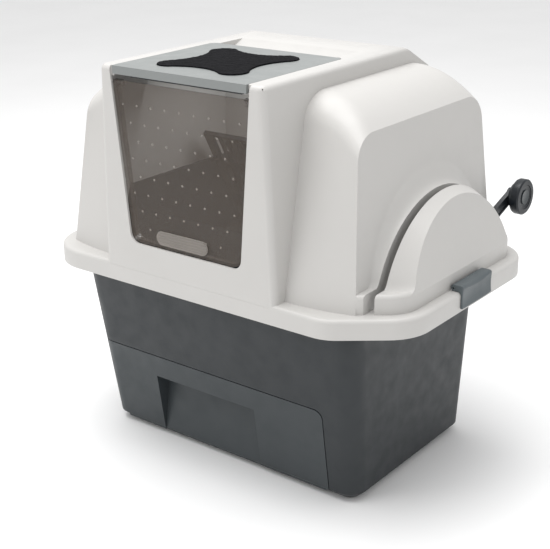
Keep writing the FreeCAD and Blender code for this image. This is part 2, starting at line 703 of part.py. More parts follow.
def base_skin():
    """Outer form of the base, with its chamfered foot."""
    low, chamfer = S["pad_height"], S["base_chamfer"]
    foot = Part.makeLoft([base_section(low, chamfer), base_section(low + chamfer, 0)], True, True)
    return foot.fuse(base_solid(0, low + chamfer, BASE_TOP)).removeSplitter()


def base_shell():
    """Tub with a chamfered foot, a drawer opening and a landing for the hood's rim."""
    low, chamfer = S["pad_height"], S["base_chamfer"]
    shape = base_skin()
    landing = prism(rim_outline(WALL + S["rim_clearance"], BASE_TOP - WALL), Vector(0, 0, WALL))
    shape = shape.fuse(landing).removeSplitter()
    floor_room = [base_section(low + WALL, chamfer + WALL), base_section(low + chamfer, WALL)]
    shape = shape.cut([Part.makeLoft(floor_room, True, True), base_solid(WALL, low + chamfer, BASE_TOP + 1)])
    opening = drawer_prism(S["drawer_gap"], BIN_FRONT_Y - FRONT + chamfer + WALL)
    sweep = S["arch_radius"]
    lever_notch = block(
        (MID_X + BASE_HALF - 8, AXLE.y - sweep, BASE_TOP - WALL - 1),
        (RIM_X, AXLE.y + sweep / 2, RIM_TOP),
    ).cut(base_solid(0, low + chamfer, RIM_TOP + 1))
    half = S["stub_radius"] + WALL
    stub_notch = block(
        (MID_X + BASE_HALF - 30, AXLE.y - half, AXLE.z - half),
        (RIM_X - 20, AXLE.y + half, RIM_TOP),
    )
    return shape.cut([opening, lever_notch, stub_notch])


feature("base_tub", base_shell())


def bearing_block(side):
    """Block on the inner wall of the base with a bore for the pan's stub."""
    inner_x = BASE_HALF - S["base_side_taper"] - S["bush_in"] / 2
    near, far = sorted((MID_X + side * inner_x, MID_X + side * (BASE_HALF + 10)))
    half = S["bush_depth"] / 2
    shape = block((near, AXLE.y - half, AXLE.z - 1.6 * half), (far, AXLE.y + half, AXLE.z + 0.8 * half))
    room = base_solid(WALL, AXLE.z - 3 * half, AXLE.z + 2 * half)
    bore = S["stub_radius"] + S["bearing_clearance"]
    shape = shape.common(room).cut(
        rod(Vector(near - 1, AXLE.y, AXLE.z), Vector(far + 1, AXLE.y, AXLE.z), bore)
    )
    return shape


feature("bearing_left", bearing_block(-1))
feature("bearing_right", bearing_block(1))


def foot_pads():
    """Four rubber pads under the base."""
    reach_x = BASE_HALF - S["base_side_taper"] - 2.5 * S["pad_radius"]
    front_y = FRONT + S["base_front_in"] + S["base_front_taper"] + 3 * S["pad_radius"]
    rear_y = REAR - S["base_rear_in"] - S["base_rear_taper"] - 2.5 * S["pad_radius"]
    return [
        Part.makeCylinder(S["pad_radius"], S["pad_height"], Vector(MID_X + side * reach_x, y, 0))
        for side in (-1, 1) for y in (front_y, rear_y)
    ]


feature("foot_pads", Part.makeCompound(foot_pads()))


# ---------------------------------------------------------------- drawer
def grip_wedge(grow):
    """Wedge of the grip recess: deepest at its top, flush with the front at its foot."""
    low, high = S["pad_height"] + 4 - grow, GRIP_TOP + grow
    left, right = -S["grip_left"] - grow, S["grip_right"] + grow
    outline = Part.makePolygon([
        Vector(left, FRONT - 5, high), Vector(left, base_face(low) + grow, low),
        Vector(left, base_face(high) + S["grip_depth"] + grow, high), Vector(left, FRONT - 5, high),
    ])
    return prism(outline, Vector(right - left, 0, 0))


def front_plate():
    """Slanted plate of the drawer front, flush with the base."""
    skin = base_skin()
    region = drawer_prism(0, BIN_FRONT_Y - FRONT + S["base_chamfer"])
    return skin.common(region).cut(skin.translated(Vector(0, S["front_thick"], 0)))


def front_panel():
    """Drawer front with the grip recess let into its plate."""
    room = block((-S["drawer_left"], FRONT, S["pad_height"] + 1), (S["drawer_right"], AXLE.y, DRAWER_TOP))
    cup = grip_wedge(WALL).common(room).common(base_skin())
    return front_plate().fuse(cup).cut(grip_wedge(0)).removeSplitter()


feature("drawer_front", front_panel())


def bin_section(height, inset):
    """Plan outline of the drawer's bin at a height."""
    near = base_face(height) + S["front_thick"] + inset
    right = S["drawer_right"] - 6 - inset
    left = -S["drawer_left"] + S["base_side_taper"] + 6 + inset
    far = S["bin_rear"] - inset
    return rounded_outline([
        (Vector(left, near, height), 6.0), (Vector(right, near, height), 6.0),
        (Vector(right, far, height), S["drawer_round"]), (Vector(left, far, height), S["drawer_round"]),
    ])


def drawer_bin():
    """Open bin behind the drawer front, notched for the grip recess."""
    low = S["pad_height"] + WALL + S["bin_lift"]
    high = DRAWER_TOP - 6
    wall = S["bin_wall"]
    shape = Part.makeLoft([bin_section(low, 0), bin_section(high, 0)], True, True)
    hollow = Part.makeLoft([bin_section(low + wall, wall), bin_section(high + 1, wall)], True, True)
    return shape.cut([hollow, grip_wedge(WALL + 0.5), front_plate()])


feature("drawer_bin", drawer_bin())


def bag_frame():
    """Frame on the bin's rim that holds a waste bag in place."""
    low = DRAWER_TOP - 6
    shape = prism(bin_section(low, 0), Vector(0, 0, 4)).cut(front_plate())
    return shape.cut(prism(bin_section(low - 1, 12), Vector(0, 0, 6)))


feature("bag_frame", bag_frame())


# ---------------------------------------------------------------- turning pan
def ring_sector(outer, inner, start, end, half):
    """Shell between two radii about the axle, from one angle to another, along X."""
    def at(radius, angle):
        turn = math.radians(angle)
        return Vector(MID_X - half, AXLE.y + radius * math.cos(turn), AXLE.z + radius * math.sin(turn))

    middle = (start + end) / 2
    wire = Part.Wire([
        Part.Arc(at(outer, start), at(outer, middle), at(outer, end)).toShape(),
        Part.LineSegment(at(outer, end), at(inner, end)).toShape(),
        Part.Arc(at(inner, end), at(inner, middle), at(inner, start)).toShape(),
        Part.LineSegment(at(inner, start), at(outer, start)).toShape(),
    ])
    return prism(wire, Vector(2 * half, 0, 0))


def litter_pan():
    """Drum wall open at the top, with a thickened front lip."""
    outer, half = S["pan_radius"], S["pan_half"]
    start, end = 180 - S["pan_front_angle"], 360 + S["pan_rear_angle"]
    wall = ring_sector(outer, outer - S["pan_wall"], start, end, half)
    lip = ring_sector(outer, outer - 3 * S["pan_wall"], start, start + 3, half)
    return wall.fuse(lip).removeSplitter()


feature("litter_pan", litter_pan())


def pan_end(side):
    """End plate with a flat top and an axle stub that runs out through the bearing."""
    half = S["pan_half"]
    inner_x, outer_x = MID_X + side * half, MID_X + side * (half + S["end_thick"])
    plate = rod(Vector(inner_x, AXLE.y, AXLE.z), Vector(outer_x, AXLE.y, AXLE.z), S["pan_radius"])
    plate = plate.cut(block((-RIM_X, FRONT, AXLE.z + S["end_rise"]), (RIM_X, REAR, HOOD_TOP)))
    reach = LEVER_X if side > 0 else MID_X - BODY_HALF + S["bush_in"]
    stub = rod(Vector(outer_x, AXLE.y, AXLE.z), Vector(reach, AXLE.y, AXLE.z), S["stub_radius"])
    shape = plate.fuse(stub).removeSplitter()
    if side > 0:
        start = Vector(LEVER_X - 20, AXLE.y, AXLE.z)
        shape = shape.cut(rod(start, Vector(LEVER_X + 1, AXLE.y, AXLE.z), S["hub_screw_radius"]))
    return shape


feature("pan_end_left", pan_end(-1))
feature("pan_end_right", pan_end(1))


def sieve_grate():
    """Slotted plate across the rear of the pan, from its upper edge down to its rear wall."""
    radius = S["pan_radius"] - S["pan_wall"]
    high, low = math.radians(S["pan_rear_angle"]), math.radians(-S["sieve_low_angle"])
    top = Vector(0, AXLE.y + radius * math.cos(high), AXLE.z + radius * math.sin(high))
    bottom = Vector(0, AXLE.y + radius * math.cos(low), AXLE.z + radius * math.sin(low))
    run = bottom - top
    half = S["pan_half"]
    thick = S["sieve_thick"]
    plate = Part.makeBox(2 * half, run.Length, thick, Vector(-half, 0, -thick))
    slot_long = run.Length / 3 - 8
    count = int((2 * half - 20) / S["sieve_pitch"])
    first = -(count - 1) * S["sieve_pitch"] / 2
    slots = [
        Part.makeBox(S["sieve_slot"], slot_long, thick + 2, Vector(
            first + column * S["sieve_pitch"] - S["sieve_slot"] / 2, 6 + row * run.Length / 3 - 2, -thick - 1
        ))
        for column in range(count) for row in range(3)
    ]
    plate = plate.cut(slots)
    tilt = math.degrees(math.atan2(run.z, run.y))
    plate.Placement = Placement(Vector(MID_X, top.y, top.z), Rotation(Vector(1, 0, 0), tilt))
    bore = rod(
        Vector(MID_X - half - 1, AXLE.y, AXLE.z), Vector(MID_X + half + 1, AXLE.y, AXLE.z), radius
    )
    return plate.common(bore)


feature("sieve_grate", sieve_grate())


# ---------------------------------------------------------------- lever and knob
def lever_body():
    """Flat lever with a round hub and a tapering arm, made along +Y and then turned up."""
    body = new_body("lever_arm")
    hub = new_sketch(body, "YZ_Plane")
    add_circle(hub, "0 mm", "0 mm", "sizes.hub_radius")
    pad(body, hub, "sizes.lever_thick")
    doc.recompute()
    arm = new_sketch(body, "YZ_Plane")
    add_polygon(arm, [
        ("0 mm", "-sizes.lever_half"), ("sizes.lever_reach", "-sizes.lever_tip_half"),
        ("sizes.lever_reach", "sizes.lever_tip_half"), ("0 mm", "sizes.lever_half"),
    ])
    pad(body, arm, "sizes.lever_thick")
    doc.recompute()
    tip = new_sketch(body, "YZ_Plane")
    add_circle(tip, "sizes.lever_reach", "0 mm", "sizes.lever_tip_half + 2")
    pad(body, tip, "sizes.lever_thick")
    hole = new_sketch(body, "YZ_Plane")
    add_circle(hole, "0 mm", "0 mm", "sizes.hub_screw_radius")
    pocket(body, hole, "sizes.lever_thick")
    dish = new_sketch(body, "YZ_Plane", "sizes.lever_thick - 1.2")
    add_polygon(dish, [
        ("sizes.hub_radius + 4", "-sizes.lever_half + 3.2"),
        ("sizes.lever_reach - 18", "-sizes.lever_tip_half + 2.6"),
        ("sizes.lever_reach - 18", "sizes.lever_tip_half - 2.6"),
        ("sizes.hub_radius + 4", "sizes.lever_half - 3.2"),
    ])
    pocket(body, dish, "2 mm")
    body.Placement = Placement(
        Vector(LEVER_X, AXLE.y, AXLE.z), Rotation(Vector(1, 0, 0), S["lever_angle"])
    )
    return body


lever_body()
TILT = math.radians(S["lever_angle"])
KNOB = AXLE + Vector(0, math.cos(TILT), math.sin(TILT)) * S["lever_reach"]


def turned_body(label, profile, place):
    """Body turned about the X axis from (x, radius) corners, moved to a place."""
    body = new_body(label)
    sketch = new_sketch(body, "XZ_Plane")
    add_polygon(sketch, profile)
    revolve(body, sketch)
    body.Placement = Placement(place, Rotation())
    return body


KNOB_PLACE = Vector(LEVER_OUT, KNOB.y, KNOB.z)
turned_body("knob_pin", [
    ("0 mm", "0 mm"), ("0 mm", "sizes.knob_pin_radius"),
    ("sizes.knob_length - 4", "sizes.knob_pin_radius"),
    ("sizes.knob_length - 4", "sizes.knob_pin_radius + 3.5"),
    ("sizes.knob_length - 2", "sizes.knob_pin_radius + 3.5"), ("sizes.knob_length - 2", "0 mm"),
], KNOB_PLACE)
turned_body("knob_body", [
    ("1 mm", "sizes.knob_pin_radius + sizes.pin_clearance"), ("1 mm", "sizes.knob_radius - 9"),
    ("4 mm", "sizes.knob_radius - 9"), ("7 mm", "sizes.knob_radius - 1.5"),
    ("10 mm", "sizes.knob_radius"), ("sizes.knob_length", "sizes.knob_radius"),
    ("sizes.knob_length + 2", "sizes.knob_radius - 2"),
    ("sizes.knob_length + 2", "sizes.knob_radius - 9"),
    ("sizes.knob_length - 1.5", "sizes.knob_radius - 9"),
    ("sizes.knob_length - 1.5", "sizes.knob_pin_radius + 4"),
    ("sizes.knob_length - 4.2", "sizes.knob_pin_radius + 4"),
    ("sizes.knob_length - 4.2", "sizes.knob_pin_radius + sizes.pin_clearance"),
], KNOB_PLACE)
turned_body("knob_cap", [
    ("sizes.knob_length - 1.5", "0 mm"), ("sizes.knob_length - 1.5", "sizes.knob_radius - 9.3"),
    ("sizes.knob_length + 0.6", "sizes.knob_radius - 9.3"),
    ("sizes.knob_length + 1.2", "sizes.knob_radius - 10.5"), ("sizes.knob_length + 1.2", "0 mm"),
], KNOB_PLACE)
turned_body("lever_screw", [
    ("-18 mm", "0 mm"), ("-18 mm", "sizes.hub_screw_radius"),
    ("sizes.lever_thick", "sizes.hub_screw_radius"), ("sizes.lever_thick", "sizes.hub_screw_radius + 5"),
    ("sizes.lever_thick + 3", "sizes.hub_screw_radius + 4"), ("sizes.lever_thick + 3", "0 mm"),
], Vector(LEVER_X, AXLE.y, AXLE.z))


# ---------------------------------------------------------------- latches
def latch(side):
    """Clip that folds over the rim: a curved plate, a lip outside and eyes for its pin."""
    gap = S["latch_gap"]
    plate = S["latch_plate"]
    axis = latch_axis(side)
    outside = RIM_X + gap
    top = axis.z + S["latch_top"]
    barrel = S["latch_barrel"]
    bottom = RIM_TOP - S["latch_drop"]
    half = S["latch_length"] / 2
    inner = axis.x * side - barrel

    def at(x, z):
        return Vector(side * x, AXLE.y - half, z)

    outline = rounded_outline([
        (at(inner, RIM_TOP + gap), barrel), (at(inner, top), S["latch_crown"]),
        (at(outside + plate, top), 4.0), (at(outside + plate, bottom), 1.5), (at(outside, bottom), 0.5),
        (at(outside, RIM_TOP + gap), S["rim_edge_round"]),
    ])
    shape = prism(outline, Vector(0, 2 * half, 0))
    lug_room = block((axis.x - 6.5, AXLE.y - 5.6, RIM_TOP), (axis.x + 6.5, AXLE.y + 5.6, RIM_TOP + 8.2))
    bore = S["latch_pin_radius"] + S["pin_clearance"]
    eye = rod(axis - Vector(0, half + 1, 0), axis + Vector(0, half + 1, 0), bore)
    return shape.cut([lug_room, eye])


for side, name in ((-1, "left"), (1, "right")):
    feature(f"latch_{name}", latch(side))
    feature(f"latch_pin_{name}", latch_rod(side))


# ---------------------------------------------------------------- tests and files
doc.recompute()
parts = [item for item in doc.Objects if item.TypeId in ("Part::Feature", "PartDesign::Body")]
for item in doc.Objects:
    if "Invalid" in item.State or "Error" in item.State:
        raise RuntimeError(f"{item.Label} could not be rebuilt")
for item in parts:
    if item.Shape.isNull() or not item.Shape.isValid():
        raise RuntimeError(f"{item.Label} has no sound shape")
    print(item.Label, len(item.Shape.Solids), round(item.Shape.Volume / 1000, 1))
    item.Shape.exportStep(f"parts/{item.Label}.step")
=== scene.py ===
"""Looks of a hooded litter box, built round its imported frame."""

import logging
import math
from dataclasses import dataclass, field
from enum import Enum
from typing import Callable, Optional, Sequence

import bpy
from mathutils import Matrix, Vector


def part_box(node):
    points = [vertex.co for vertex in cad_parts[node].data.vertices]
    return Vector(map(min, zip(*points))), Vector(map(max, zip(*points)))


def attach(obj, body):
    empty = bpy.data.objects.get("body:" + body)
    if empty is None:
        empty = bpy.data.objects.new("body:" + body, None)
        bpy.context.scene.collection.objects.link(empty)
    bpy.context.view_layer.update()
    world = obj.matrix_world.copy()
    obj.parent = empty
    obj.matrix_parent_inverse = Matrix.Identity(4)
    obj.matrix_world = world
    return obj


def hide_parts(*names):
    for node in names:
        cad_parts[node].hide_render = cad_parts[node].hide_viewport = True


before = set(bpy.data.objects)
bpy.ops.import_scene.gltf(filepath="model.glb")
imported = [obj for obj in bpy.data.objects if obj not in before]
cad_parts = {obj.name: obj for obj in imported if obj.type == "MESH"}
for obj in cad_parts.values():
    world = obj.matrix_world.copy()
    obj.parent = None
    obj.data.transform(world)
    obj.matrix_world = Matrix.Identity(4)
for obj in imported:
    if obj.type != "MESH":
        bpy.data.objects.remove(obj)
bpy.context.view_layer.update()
LOG = logging.getLogger("litter_box")
MM = 0.001
Colour = tuple[float, float, float]


# ------------------------------------------------------------------ finishes
class Tint(Enum):
    """Linear colours of the moulded pieces."""

    CREAM = (0.535, 0.524, 0.507)
    DOVE_GREY = (0.225, 0.237, 0.234)
    SLATE = (0.0195, 0.0235, 0.0265)
    DRAWER_SLATE = (0.036, 0.043, 0.047)
    PAN_SLATE = (0.020, 0.025, 0.031)
    LATCH_GREY = (0.088, 0.105, 0.113)
    INK = (0.009, 0.012, 0.016)
    CAP_GREY = (0.040, 0.048, 0.052)
    BUSH_WHITE = (0.62, 0.62, 0.60)


class Tree:
    """A small helper that adds and joins the nodes of one material."""

    def __init__(self, name: str) -> None:
        """Starts an empty node tree with its output.

        Args:
            name: name of the material.
        """
        self.material = bpy.data.materials.new(name)
        self.material.use_nodes = True
        self.nodes = self.material.node_tree.nodes
        self.nodes.clear()
        self.output = self.nodes.new("ShaderNodeOutputMaterial")
        self.shader = self.nodes.new("ShaderNodeBsdfPrincipled")
        self.join(self.shader.outputs["BSDF"], self.output.inputs["Surface"])
        self.place = self.nodes.new("ShaderNodeTexCoord").outputs["Object"]

    def join(self, source: bpy.types.NodeSocket, target: bpy.types.NodeSocket) -> None:
        """Links two sockets.

        Args:
            source: socket that gives.
            target: socket that takes.
        """
        self.material.node_tree.links.new(source, target)

    def noise(self, scale: float, detail: float = 4.0,
              stretch: Optional[Colour] = None) -> bpy.types.NodeSocket:
        """Adds a noise pattern in object space.

        Args:
            scale: features per metre.
            detail: octaves of the noise.
            stretch: how much the pattern is scaled along each axis.

        Returns:
            The pattern's factor.
        """
        pattern = self.nodes.new("ShaderNodeTexNoise")
        pattern.inputs["Scale"].default_value = scale
        pattern.inputs["Detail"].default_value = detail
        source = self.place
        if stretch:
            mapping = self.nodes.new("ShaderNodeMapping")
            mapping.inputs["Scale"].default_value = stretch
            self.join(self.place, mapping.inputs["Vector"])
            source = mapping.outputs["Vector"]
        self.join(source, pattern.inputs["Vector"])
        return pattern.outputs["Fac"]

    def spread(self, factor: bpy.types.NodeSocket, low: float, high: float,
               start: float = 0.3, end: float = 0.7) -> bpy.types.NodeSocket:
        """Maps a factor from one range to another.

        Args:
            factor: what is mapped.
            low: result at start.
            high: result at end.
            start: factor at the low end.
            end: factor at the high end.

        Returns:
            The mapped value.
        """
        mapper = self.nodes.new("ShaderNodeMapRange")
        mapper.inputs["From Min"].default_value = start
        mapper.inputs["From Max"].default_value = end
        mapper.inputs["To Min"].default_value = low
        mapper.inputs["To Max"].default_value = high
        self.join(factor, mapper.inputs["Value"])
        return mapper.outputs["Result"]

    def blend(self, factor: bpy.types.NodeSocket, first: Colour, second: Colour) -> bpy.types.NodeSocket:
        """Blends two colours by a factor.

        Args:
            factor: share of the second colour.
            first: colour at zero.
            second: colour at one.

        Returns:
            The blended colour.
        """
        mixer = self.nodes.new("ShaderNodeMix")
        mixer.data_type = "RGBA"
        mixer.inputs[6].default_value = (*first, 1.0)
        mixer.inputs[7].default_value = (*second, 1.0)
        self.join(factor, mixer.inputs[0])
        return mixer.outputs[2]

    def bump(self, height: bpy.types.NodeSocket, depth: float,
             onto: Optional[bpy.types.Node] = None) -> bpy.types.Node:
        """Adds a bump to the shader.

        Args:
            height: height pattern.
            depth: its depth in metres.
            onto: an earlier bump that this one rests on.

        Returns:
            The bump node.
        """
        node = self.nodes.new("ShaderNodeBump")
        node.inputs["Distance"].default_value = depth
        node.inputs["Strength"].default_value = 0.8
        self.join(height, node.inputs["Height"])
        if onto:
            self.join(onto.outputs["Normal"], node.inputs["Normal"])
        self.join(node.outputs["Normal"], self.shader.inputs["Normal"])
        return node


def scaled(colour: Colour, share: float) -> Colour:
    """Scales a colour.

    Args:
        colour: what is scaled.
        share: the factor, which may be above one.

    Returns:
        The scaled colour.
    """
    return tuple(value * share for value in colour)


@dataclass(frozen=True)
class MouldedPlastic:
    """Spark-textured moulded plastic with slight clouding, dust and rubbed patches."""

    name: str
    tint: Tint
    roughness: float = 0.42
    grain: float = 1400.0
    grain_depth: float = 0.00006
    clouding: float = 0.03
    rubbed: float = 0.08
    flow_share: float = 0.4
    cloud_scale: float = 9.0
    patch_scale: float = 38.0
    flow_scale: float = 14.0

    def build(self) -> bpy.types.Material:
        """Makes the material.

        Returns:
            The material.
        """
        tree = Tree(self.name)
        base = self.tint.value
        clouds = tree.spread(tree.noise(self.cloud_scale, 5.0), 0.0, 1.0)
        dusty = scaled(base, 1.0 + self.clouding)
        colour = tree.blend(clouds, scaled(base, 1.0 - self.clouding), dusty)
        tree.join(colour, tree.shader.inputs["Base Color"])
        polished, worn = self.roughness - self.rubbed, self.roughness + self.rubbed
        patches = tree.spread(tree.noise(self.patch_scale, 6.0), polished, worn)
        tree.join(patches, tree.shader.inputs["Roughness"])
        flow = tree.bump(tree.noise(self.flow_scale, 2.0), self.grain_depth * self.flow_share)
        tree.bump(tree.noise(self.grain, 2.0), self.grain_depth, flow)
        tree.shader.inputs["Specular IOR Level"].default_value = 0.45
        return tree.material


@dataclass(frozen=True)
class SmokedPlastic:
    """Clear brown plastic of the entry door, with fine scratches from paws."""

    name: str = "smoked_plastic"
    tint: Colour = (0.092, 0.070, 0.053)
    opacity: float = 0.40

    def build(self) -> bpy.types.Material:
        """Makes the material.

        Returns:
            The material.
        """
        tree = Tree(self.name)
        haze = tree.spread(tree.noise(7.0, 3.0), 0.0, 1.0)
        tinted = tree.blend(haze, scaled(self.tint, 0.92), scaled(self.tint, 1.08))
        tree.join(tinted, tree.shader.inputs["Base Color"])
        scratches = tree.noise(160.0, 6.0, (1.0, 1.0, 0.06))
        tree.join(tree.spread(scratches, 0.10, 0.26), tree.shader.inputs["Roughness"])
        tree.bump(scratches, 0.00002)
        tree.shader.inputs["Alpha"].default_value = self.opacity
        tree.shader.inputs["Coat Weight"].default_value = 0.22
        tree.shader.inputs["Coat Roughness"].default_value = 0.06
        tree.material.surface_render_method = "BLENDED"
        return tree.material


@dataclass(frozen=True)
class CarbonFibre:
    """Felt of carbon-filled fibres."""

    name: str = "carbon_felt"
    tint: Colour = (0.003, 0.003, 0.004)

    def build(self) -> bpy.types.Material:
        """Makes the material.

        Returns:
            The material.
        """
        tree = Tree(self.name)
        strands = tree.noise(520.0, 8.0, (1.0, 0.35, 1.0))
        lint = tree.spread(strands, 0.0, 1.0, 0.48, 0.74)
        tree.join(tree.blend(lint, self.tint, (0.015, 0.015, 0.018)), tree.shader.inputs["Base Color"])
        tree.join(tree.spread(strands, 0.78, 0.98), tree.shader.inputs["Roughness"])
        coarse = tree.bump(tree.noise(120.0, 4.0), 0.0012)
        tree.bump(strands, 0.0007, coarse)
        tree.shader.inputs["Sheen Weight"].default_value = 0.02
        tree.shader.inputs["Specular IOR Level"].default_value = 0.05
        return tree.material


@dataclass(frozen=True)
class DrawnSteel:
    """Plain steel of pins and the screw."""

    name: str = "drawn_steel"

    def build(self) -> bpy.types.Material:
        """Makes the material.

        Returns:
            The material.
        """
        tree = Tree(self.name)
        lines = tree.noise(900.0, 3.0, (0.05, 1.0, 1.0))
        tree.join(tree.blend(lines, (0.50, 0.50, 0.51), (0.62, 0.62, 0.64)), tree.shader.inputs["Base Color"])
        tree.join(tree.spread(lines, 0.22, 0.40), tree.shader.inputs["Roughness"])
        tree.bump(lines, 0.00002)
        tree.shader.inputs["Metallic"].default_value = 1.0
        return tree.material


@dataclass(frozen=True)
class FootRubber:
    """Soft black rubber of the foot pads."""

    name: str = "foot_rubber"

    def build(self) -> bpy.types.Material:
        """Makes the material.

        Returns:
            The material.
        """
        tree = Tree(self.name)
        dust = tree.spread(tree.noise(60.0, 6.0), 0.0, 1.0)
        dusted = tree.blend(dust, (0.012, 0.012, 0.013), (0.035, 0.034, 0.032))
        tree.join(dusted, tree.shader.inputs["Base Color"])
        tree.join(tree.spread(dust, 0.65, 0.9), tree.shader.inputs["Roughness"])
        tree.bump(tree.noise(700.0, 3.0), 0.0001)
        return tree.material


@dataclass(frozen=True)
class PaleFloor:
    """Plain pale floor."""

    name: str = "pale_floor"

    def build(self) -> bpy.types.Material:
        """Makes the material.

        Returns:
            The material.
        """
        tree = Tree(self.name)
        soft = tree.spread(tree.noise(3.0, 2.0), 0.0, 1.0)
        tree.join(tree.blend(soft, (0.93, 0.93, 0.93), (0.95, 0.95, 0.95)), tree.shader.inputs["Base Color"])
        tree.shader.inputs["Roughness"].default_value = 0.9
        return tree.material


# ------------------------------------------------------------------ bench: mesh work shared by the pieces
class Bench:
    """Operator work on one piece at a time."""

    @staticmethod
    def clear() -> None:
        """Leaves edit mode and deselects everything."""
        if bpy.context.object and bpy.context.object.mode != "OBJECT":
            bpy.ops.object.mode_set(mode="OBJECT")
        for item in bpy.context.selected_objects:
            item.select_set(False)

    @staticmethod
    def pick(piece: bpy.types.Object) -> None:
        """Makes a piece the only selected and active object.

        Args:
            piece: the piece.
        """
        Bench.clear()
        piece.select_set(True)
        bpy.context.view_layer.objects.active = piece

    @staticmethod
    def named(name: str) -> bpy.types.Object:
        """Names the piece that was just added.

        Args:
            name: its name.

        Returns:
            The piece.
        """
        piece = bpy.context.object
        piece.name = name
        piece.data.name = name
        return piece

    @staticmethod
    def block(name: str, low: Sequence[float], high: Sequence[float]) -> bpy.types.Object:
        """Adds a box between two corners.

        Args:
            name: its name.
            low: its lowest corner, in metres.
            high: its highest corner, in metres.

        Returns:
            The box.
        """
        Bench.clear()
        middle = [(a + b) / 2 for a, b in zip(low, high)]
        span = [b - a for a, b in zip(low, high)]
        bpy.ops.mesh.primitive_cube_add(size=1, location=middle, scale=span)
        piece = Bench.named(name)
        Bench.settle(piece)
        return piece

    @staticmethod
    def settle(piece: bpy.types.Object) -> None:
        """Applies a piece's place, turn and size to its mesh.

        Args:
            piece: the piece.
        """
        Bench.pick(piece)
        bpy.ops.object.transform_apply(location=True, rotation=True, scale=True)

    @staticmethod
    def finish_with(piece: bpy.types.Object, kind: str, **settings: object) -> None:
        """Adds a modifier and applies it.

        Args:
            piece: what is modified.
            kind: the modifier's type.
            settings: its properties.
        """
        Bench.pick(piece)
        modifier = piece.modifiers.new(kind.lower(), kind)
        for key, value in settings.items():
            setattr(modifier, key, value)
        bpy.ops.object.modifier_apply(modifier=modifier.name)

    @staticmethod
    def smooth(piece: bpy.types.Object, degrees: float = 32.0) -> None:
        """Shades a piece smooth where its faces meet at a small angle.

        Args:
            piece: the piece.
            degrees: the largest angle that is shaded smooth.
        """
        Bench.pick(piece)
        bpy.ops.object.shade_smooth_by_angle(angle=math.radians(degrees))

    @staticmethod
    def skin(node: str, merge: float = 0.00002) -> bpy.types.Object:
        """Copies a node's mesh into a joined-up piece.

        Args:
            node: name of the CAD node.
            merge: distance at which its corners become one, in metres.

        Returns:
            The new piece.
        """
        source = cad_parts[node]
        mesh = source.data.copy()
        piece = bpy.data.objects.new(f"{node}_skin", mesh)
        bpy.context.scene.collection.objects.link(piece)
        mesh.materials.clear()
        Bench.pick(piece)
        bpy.ops.object.mode_set(mode="EDIT")
        bpy.ops.mesh.select_all(action="SELECT")
        bpy.ops.mesh.remove_doubles(threshold=merge)
        bpy.ops.mesh.customdata_custom_splitnormals_clear()
        bpy.ops.mesh.select_all(action="DESELECT")
        bpy.ops.object.mode_set(mode="OBJECT")
        return piece

    @staticmethod
    def join(name: str, pieces: Sequence[bpy.types.Object]) -> bpy.types.Object:
        """Joins pieces into one.

        Args:
            name: name of the whole.
            pieces: what is joined.

        Returns:
            The whole.
        """
        Bench.pick(pieces[0])
        for piece in pieces[1:]:
            piece.select_set(True)
        bpy.ops.object.join()
        return Bench.named(name)

    @staticmethod
    def reshape(piece: bpy.types.Object, move: Callable[[Vector], Vector]) -> None:
        """Moves every corner of a piece by a rule.

        Args:
            piece: the piece.
            move: gives a corner's new place from its old one.
        """
        for corner in piece.data.vertices:
            corner.co = move(corner.co.copy())
        piece.data.update()


@dataclass
class SubAssembly:
    """Common ground of the sub-assemblies."""

    body: str = "base"
    done: list[str] = field(default_factory=list)

    def hand_over(self, piece: bpy.types.Object, finish: bpy.types.Material, slot: str,
                  nodes: Sequence[str] = (), body: str = "") -> bpy.types.Object:
        """Dresses a piece and ties it to its body.

        Args:
            piece: the finished mesh.
            finish: its material.
            slot: not used.
            nodes: CAD nodes that the piece stands for.
            body: body it rides on, if not the sub-assembly's own.

        Returns:
            The same piece.
        """
        piece.data.materials.clear()
        piece.data.materials.append(finish)
        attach(piece, body or self.body)
        if nodes:
            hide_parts(*nodes)
        self.done.append(piece.name)
        return piece

    def dress(self, node: str, finish: bpy.types.Material, slot: str, body: str = "",
              degrees: float = 32.0) -> bpy.types.Object:
        """Stands a smooth skin in for a node and dresses it.

        Args:
            node: name of the CAD node.
            finish: its material.
            slot: not used.
            body: body it rides on, if not the sub-assembly's own.
            degrees: the largest angle that is shaded smooth.

        Returns:
            The skin.
        """
        piece = Bench.skin(node)
        Bench.smooth(piece, degrees)
        return self.hand_over(piece, finish, slot, [node], body)

    def paint(self, node: str, finish: bpy.types.Material) -> None:
        """Gives a finish to a node whose shape stays as it is.

        Args:
            node: name of the CAD node.
            finish: its material.
        """
        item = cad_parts[node]
        item.data.materials.clear()
        item.data.materials.append(finish)
        self.done.append(node)

    def report(self) -> None:
        """Logs the pieces that were made."""
        for name in self.done:
            LOG.info("%s: %s", type(self).__name__, name)


# ------------------------------------------------------------------ sub-assemblies
@dataclass
class Hood(SubAssembly):
    """Off-white hood with its collar, fender and the cover of the lever slot."""

    body: str = "hood"

    def build(self, cream: bpy.types.Material, steel: bpy.types.Material) -> None:
        """Dresses the hood's shell, the cover and the pins."""
        self.dress("hood_shell", cream, "hood_plastic", degrees=38.0)
        self.dress("lever_cover", cream, "hood_plastic", degrees=38.0)
        for pins in ("door_pins", "lid_pins", "latch_pin_left", "latch_pin_right"):
            self.paint(pins, steel)


